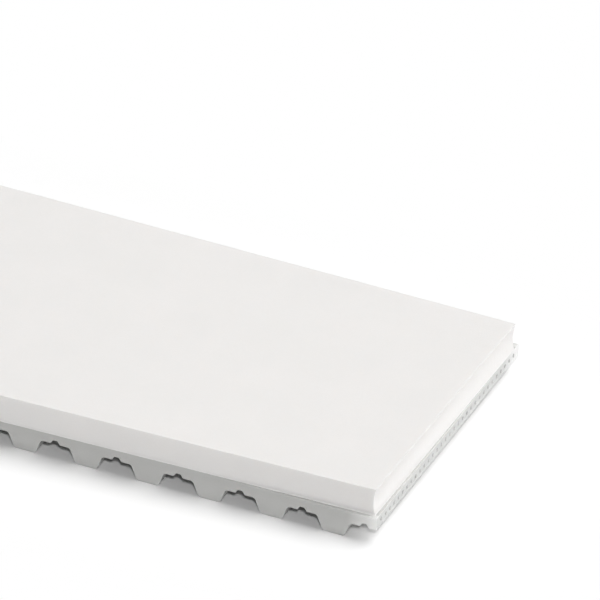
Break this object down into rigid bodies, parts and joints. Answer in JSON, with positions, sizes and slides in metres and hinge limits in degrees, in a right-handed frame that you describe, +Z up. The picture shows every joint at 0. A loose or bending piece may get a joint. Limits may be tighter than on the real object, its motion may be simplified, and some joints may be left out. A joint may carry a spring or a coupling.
{
  "type": "coated timing belt",
  "caption": "Cut length of trapezoidal-tooth timing belt: grey polyurethane with steel tension cords and a thick white elastomer coating bonded to its flat back.",
  "frame": {"origin": "under the middle of the cut length, on the plane of the tooth tips, so the belt lies on its teeth", "axes": "+X along the belt, +Y across its width, +Z up from the teeth to the coating"},
  "size_m": [0.1238, 0.05, 0.0092],
  "materials": {
    "coating": "matte, finely ground",
    "bond_film": "satin",
    "belt_polyurethane": "satin, slightly translucent",
    "cord_steel": "drawn wire"
  },
  "bodies": {
    "root": {"belt_body": "belt_polyurethane", "bond_film": "bond_film", "coating": "coating", "tension_cord_01": "cord_steel", "tension_cord_02": "cord_steel", "tension_cord_03": "cord_steel", "tension_cord_04": "cord_steel", "tension_cord_05": "cord_steel", "tension_cord_06": "cord_steel", "tension_cord_07": "cord_steel", "tension_cord_08": "cord_steel", "tension_cord_09": "cord_steel", "tension_cord_10": "cord_steel", "tension_cord_11": "cord_steel", "tension_cord_12": "cord_steel", "tension_cord_13": "cord_steel", "tension_cord_14": "cord_steel", "tension_cord_15": "cord_steel", "tension_cord_16": "cord_steel", "tension_cord_17": "cord_steel", "tension_cord_18": "cord_steel", "tension_cord_19": "cord_steel", "tension_cord_20": "cord_steel", "tension_cord_21": "cord_steel", "tension_cord_22": "cord_steel", "tension_cord_23": "cord_steel", "tension_cord_24": "cord_steel", "tension_cord_25": "cord_steel", "tension_cord_26": "cord_steel", "tension_cord_27": "cord_steel", "tension_cord_28": "cord_steel", "tension_cord_29": "cord_steel", "tension_cord_30": "cord_steel", "tension_cord_31": "cord_steel", "tension_cord_32": "cord_steel"}
  },
  "joints": []
}
